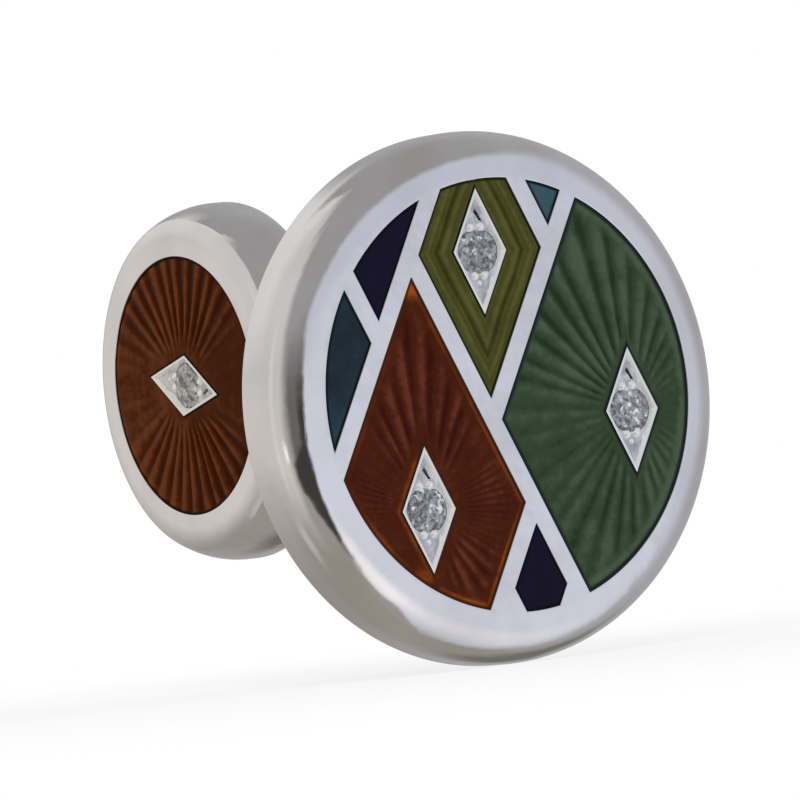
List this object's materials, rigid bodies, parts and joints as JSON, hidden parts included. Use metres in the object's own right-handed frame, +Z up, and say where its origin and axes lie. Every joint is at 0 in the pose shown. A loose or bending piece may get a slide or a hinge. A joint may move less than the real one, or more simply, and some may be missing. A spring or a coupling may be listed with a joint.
{
  "type": "cufflink",
  "caption": "Round silver cufflink with lozenge enamel panels and small brilliants on the front, and a smaller enamelled round back that swivels on the post to pass a buttonhole.",
  "frame": {"origin": "centre of the front face, in the plane of its silver bands", "axes": "-Y out of the front face, +Y along the post towards the back head, +Z up along the hinge pin, +X to the right of someone who looks at the front face"},
  "size_m": [0.018, 0.0198, 0.018],
  "materials": {
    "silver": "polished sterling silver with fine handling scratches",
    "setting_silver": "bright-cut white metal",
    "spring_steel": "hardened spring strip",
    "brilliant": "faceted clear stone",
    "enamel_green": "translucent vitreous enamel over engraved rays",
    "enamel_brown": "translucent vitreous enamel over engraved rays",
    "enamel_olive": "translucent vitreous enamel over engraved lozenges",
    "enamel_navy": "plain glossy vitreous enamel",
    "enamel_teal": "plain glossy vitreous enamel"
  },
  "bodies": {
    "front": {"front_case": "silver", "front_plate": "silver", "enamel_green": "enamel_green", "enamel_brown": "enamel_brown", "enamel_olive": "enamel_olive", "enamel_navy_upper": "enamel_navy", "enamel_navy_lower": "enamel_navy", "enamel_teal_side": "enamel_teal", "enamel_teal_top": "enamel_teal", "setting_green": "setting_silver", "setting_brown": "setting_silver", "setting_olive": "setting_silver", "stone_green": "brilliant", "stone_brown": "brilliant", "stone_olive": "brilliant", "post": "silver"},
    "back": {"back_case": "silver", "back_plate": "silver", "back_enamel": "enamel_brown", "back_setting": "setting_silver", "back_stone": "brilliant", "hinge_clevis": "silver", "hinge_pin": "silver", "click_spring": "spring_steel"}
  },
  "joints": [
    {"name": "back_swivel", "type": "hinge", "parent": "front", "child": "back", "pos_m": [0, 0.01362, 0.0016], "axis": [0, 0, 1], "range_deg": [-180, 0]}
  ]
}
